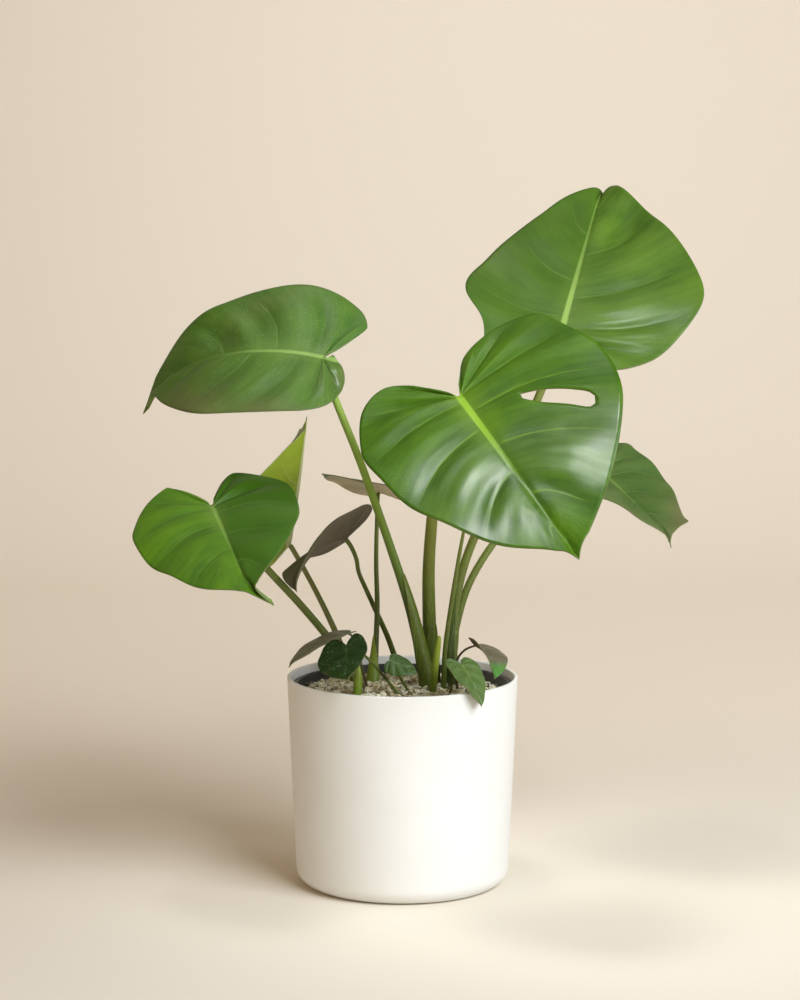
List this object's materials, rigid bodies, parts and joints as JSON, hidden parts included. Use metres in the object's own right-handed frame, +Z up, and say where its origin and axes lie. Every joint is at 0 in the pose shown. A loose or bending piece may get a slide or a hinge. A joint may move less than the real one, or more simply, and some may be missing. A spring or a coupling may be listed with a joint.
{
  "type": "potted monstera plant",
  "caption": "Young split-leaf houseplant with heart-shaped glossy leaves on long petioles, in a dark nursery pot inside a plain white cover pot.",
  "frame": {"origin": "centre of the cover pot's flat underside", "axes": "+Z up along the pot's axis, -Y towards the plant's front"},
  "size_m": [0.4597, 0.4314, 0.5712],
  "materials": {
    "satin_white": "satin",
    "black_plastic": "matte",
    "husk_mix": "matte",
    "green_leaf": "satin",
    "young_leaf": "satin",
    "bronze_leaf": "matte",
    "stalk": "satin"
  },
  "bodies": {
    "root": {"cover_pot": "satin_white", "grow_pot": "black_plastic", "potting_mix": "husk_mix", "leaf_upper_left": "green_leaf", "leaf_front": "green_leaf", "leaf_upper_right": "green_leaf", "leaf_lower_left": "green_leaf", "leaf_unfurling": "young_leaf", "leaf_right": "green_leaf", "leaf_back_upper": "bronze_leaf", "leaf_back_lower": "bronze_leaf", "leaf_rim_heart": "green_leaf", "leaf_rim_long": "green_leaf", "leaf_rim_middle": "green_leaf", "leaf_rim_front": "green_leaf", "leaf_rim_right": "green_leaf", "petiole_upper_left": "stalk", "petiole_front": "stalk", "petiole_upper_right": "stalk", "petiole_lower_left": "stalk", "petiole_unfurling": "stalk", "petiole_right": "stalk", "petiole_back_upper": "stalk", "petiole_back_lower": "stalk", "petiole_rim_heart": "stalk", "petiole_rim_long": "stalk", "petiole_rim_middle": "stalk", "petiole_rim_front": "stalk", "petiole_rim_right": "stalk", "spear_left": "young_leaf", "spear_crown": "young_leaf", "spear_tall": "young_leaf"}
  },
  "joints": []
}
